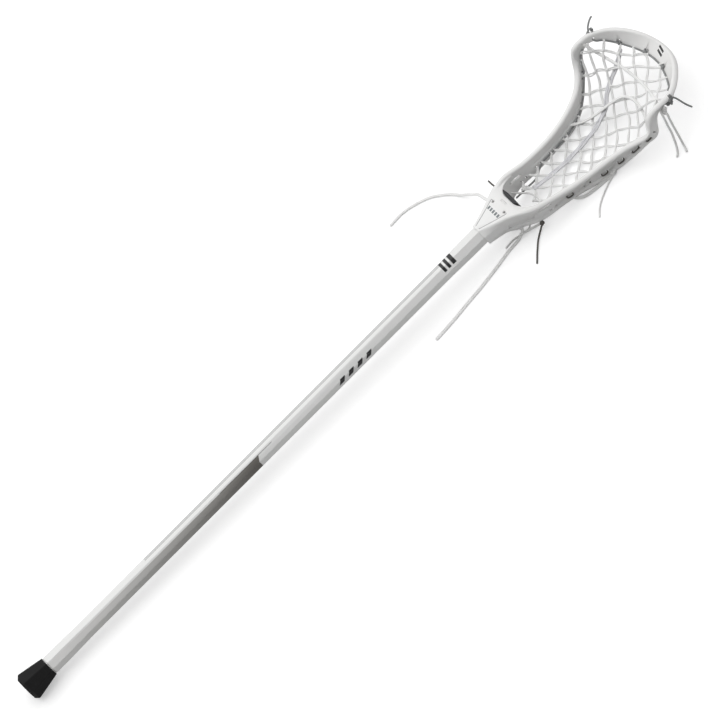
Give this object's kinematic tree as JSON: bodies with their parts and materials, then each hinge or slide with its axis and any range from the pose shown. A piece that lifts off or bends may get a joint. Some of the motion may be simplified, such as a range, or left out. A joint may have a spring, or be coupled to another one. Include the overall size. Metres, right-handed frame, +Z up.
{
  "type": "lacrosse stick",
  "caption": "Women's field lacrosse stick with an octagonal metal shaft, rubber end cap, moulded open head and a laced mesh pocket.",
  "frame": {"origin": "on the table under the middle of the stick: bottom centre of the stick's box, without its loose string ends", "axes": "+X along the stick from the butt to the scoop, +Z up out of the open face of the head, +Y to the stick's left"},
  "size_m": [1.0888, 0.2534, 0.0703],
  "materials": {
    "shaft_alloy": "satin pearl coat with printed taupe and grey graphics",
    "cap_rubber": "satin moulded rubber",
    "head_nylon": "smooth moulded nylon",
    "stop_foam": "closed-cell foam",
    "screw_steel": "zinc plated",
    "mesh_cord": "knotless woven mesh",
    "runner_cord": "braided cord",
    "grey_string": "waxed braid",
    "dark_string": "waxed braid",
    "white_lace": "braided lace"
  },
  "bodies": {
    "stick": {"shaft": "shaft_alloy", "head": "head_nylon", "ball_stop": "stop_foam", "pocket_mesh": "mesh_cord", "pocket_runner": "runner_cord", "top_string": "grey_string", "left_sidewall_string": "grey_string", "right_sidewall_string": "dark_string", "bottom_string": "dark_string", "upper_shooting_string": "white_lace", "lower_shooting_string": "white_lace", "side_lace": "white_lace", "left_throat_lace": "white_lace", "right_throat_lace": "white_lace", "right_throat_tail": "white_lace", "bottom_string_tail": "dark_string", "side_lace_tail": "white_lace", "shooting_tail_front": "white_lace", "shooting_tail_back": "white_lace", "top_string_tail_left": "grey_string", "top_string_tail_right": "grey_string"},
    "end_cap": {"end_cap": "cap_rubber"},
    "head_screw": {"head_screw": "screw_steel"}
  },
  "joints": [
    {"name": "cap_slide", "type": "slide", "parent": "stick", "child": "end_cap", "axis": [-0.9998, 0, -0.0197], "range_m": [0, 0.04]},
    {"name": "screw_slide", "type": "slide", "parent": "stick", "child": "head_screw", "axis": [0.0197, 0, -0.9998], "range_m": [0, 0.014]}
  ]
}
